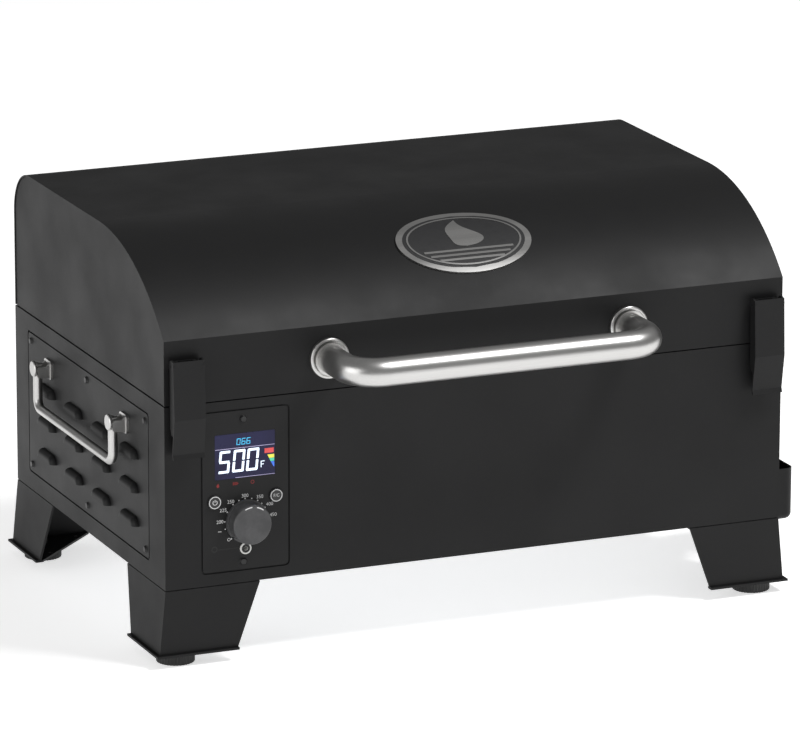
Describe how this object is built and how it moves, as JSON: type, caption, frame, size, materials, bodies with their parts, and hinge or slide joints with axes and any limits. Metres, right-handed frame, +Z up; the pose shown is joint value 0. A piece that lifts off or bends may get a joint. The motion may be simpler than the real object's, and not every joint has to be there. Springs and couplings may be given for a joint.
{
  "type": "pellet smoker grill",
  "caption": "Tabletop wood pellet smoker grill with a hinged curved lid, side hopper, digital control panel, latches, drop handles and folded legs.",
  "frame": {"origin": "on the ground, under the middle of the body", "axes": "+X to the right along the body, -Y out of the front, +Z up"},
  "size_m": [0.6713, 0.4657, 0.3645],
  "materials": {
    "black_steel": "matte black powder coat, slightly rough",
    "panel_steel": "matte black powder coat",
    "stainless": "satin stainless steel",
    "zinc_steel": "zinc plated steel",
    "black_screw": "black oxide",
    "bare_steel": "heat darkened steel",
    "enamel": "porcelain enamel",
    "lens": "dark glossy display window",
    "board": "circuit board",
    "knob_grey": "satin dark grey",
    "button_black": "soft black plastic with a white ring",
    "jack_white": "white plastic ring",
    "motor_metal": "motor can",
    "fan_plastic": "black plastic",
    "badge_metal": "satin plate with a raised rim",
    "foot_black": "black knurled plastic",
    "galvanised": "galvanised sheet"
  },
  "bodies": {
    "body": {"auger_motor": "motor_metal", "auger_tube": "bare_steel", "back_panel": "black_steel", "body_hinge_leaves": "panel_steel", "carry_handle_brackets": "stainless", "control_board": "board", "control_panel": "panel_steel", "cooking_grate_left": "enamel", "cooking_grate_right": "enamel", "cup_bracket": "panel_steel", "display_lens": "lens", "fan_housing": "fan_plastic", "fire_pot": "bare_steel", "floor_pan": "galvanised", "front_panel": "black_steel", "grate_ledges": "zinc_steel", "grease_spout": "bare_steel", "grease_tray": "bare_steel", "heat_deflector": "bare_steel", "hinge_pins": "zinc_steel", "hopper_bin": "galvanised", "hopper_hinge": "zinc_steel", "igniter_rod": "bare_steel", "latch_catches": "panel_steel", "left_end_panel": "black_steel", "leg_back_left": "black_steel", "leg_back_right": "black_steel", "leg_front_left": "black_steel", "leg_front_right": "black_steel", "panel_screws": "black_screw", "partition_wall": "galvanised", "power_inlet": "fan_plastic", "probe_jack": "jack_white", "right_end_panel": "black_steel", "temperature_probe": "zinc_steel", "vent_panel": "panel_steel"},
    "lid": {"lid_wrap": "black_steel", "lid_end_left": "black_steel", "lid_end_right": "black_steel", "lid_hinge_leaves": "panel_steel", "lid_handle": "stainless", "handle_rosettes": "stainless", "handle_bolts": "zinc_steel", "badge": "badge_metal", "latch_brackets": "panel_steel"},
    "latch_left": {"latch_plate_left": "panel_steel"},
    "latch_right": {"latch_plate_right": "panel_steel"},
    "carry_left": {"carry_handle_left": "stainless"},
    "carry_right": {"carry_handle_right": "stainless"},
    "knob": {"temperature_knob": "knob_grey"},
    "power": {"power_button": "button_black"},
    "units": {"unit_button": "button_black"},
    "hopper_cover": {"hopper_lid": "galvanised"},
    "cup": {"grease_cup": "panel_steel"},
    "auger": {"auger_screw": "bare_steel"},
    "impeller": {"fan_impeller": "fan_plastic"},
    "foot_fl": {"foot_front_left": "foot_black"},
    "foot_fr": {"foot_front_right": "foot_black"},
    "foot_bl": {"foot_back_left": "foot_black"},
    "foot_br": {"foot_back_right": "foot_black"}
  },
  "joints": [
    {"name": "lid_hinge", "type": "hinge", "parent": "body", "child": "lid", "pos_m": [0, 0.196, 0.2355], "axis": [-1, 0, 0], "range_deg": [0, 90]},
    {"name": "latch_left_turn", "type": "hinge", "parent": "lid", "child": "latch_left", "pos_m": [-0.2765, -0.197, 0.2729], "axis": [-1, 0, 0], "range_deg": [0, 95]},
    {"name": "carry_left_swing", "type": "hinge", "parent": "body", "child": "carry_left", "pos_m": [-0.3065, 0.003, 0.199], "axis": [0, 1, 0], "range_deg": [0, 90]},
    {"name": "latch_right_turn", "type": "hinge", "parent": "lid", "child": "latch_right", "pos_m": [0.2765, -0.197, 0.2729], "axis": [-1, 0, 0], "range_deg": [0, 95]},
    {"name": "carry_right_swing", "type": "hinge", "parent": "body", "child": "carry_right", "pos_m": [0.3065, 0.003, 0.199], "axis": [0, -1, 0], "range_deg": [0, 90]},
    {"name": "knob_turn", "type": "hinge", "parent": "body", "child": "knob", "pos_m": [-0.2196, -0.19, 0.1258], "axis": [0, 1, 0], "range_deg": [0, 270]},
    {"name": "power_press", "type": "slide", "parent": "body", "child": "power", "axis": [0, 1, 0], "range_m": [0, 0.001], "stiffness_N_per_m": 600},
    {"name": "units_press", "type": "slide", "parent": "body", "child": "units", "axis": [0, 1, 0], "range_m": [0, 0.001], "stiffness_N_per_m": 600},
    {"name": "hopper_lid_hinge", "type": "hinge", "parent": "body", "child": "hopper_cover", "pos_m": [-0.1772, 0.01, 0.2333], "axis": [0, 1, 0], "range_deg": [0, 90]},
    {"name": "cup_lift", "type": "slide", "parent": "body", "child": "cup", "axis": [0, 0, 1], "range_m": [0, 0.005]},
    {"name": "auger_spin", "type": "hinge", "parent": "body", "child": "auger", "pos_m": [-0.15, 0.02, 0.1125], "axis": [1, 0, 0], "continuous": true},
    {"name": "fan_spin", "type": "hinge", "parent": "body", "child": "impeller", "pos_m": [-0.264, 0.118, 0.1155], "axis": [1, 0, 0], "continuous": true},
    {"name": "foot_fl_turn", "type": "hinge", "parent": "body", "child": "foot_fl", "pos_m": [-0.2785, -0.1698, 0.004], "axis": [0, 0, 1], "continuous": true},
    {"name": "foot_bl_turn", "type": "hinge", "parent": "body", "child": "foot_bl", "pos_m": [-0.2785, 0.1698, 0.004], "axis": [0, 0, 1], "continuous": true},
    {"name": "foot_fr_turn", "type": "hinge", "parent": "body", "child": "foot_fr", "pos_m": [0.2785, -0.1698, 0.004], "axis": [0, 0, 1], "continuous": true},
    {"name": "foot_br_turn", "type": "hinge", "parent": "body", "child": "foot_br", "pos_m": [0.2785, 0.1698, 0.004], "axis": [0, 0, 1], "continuous": true}
  ]
}
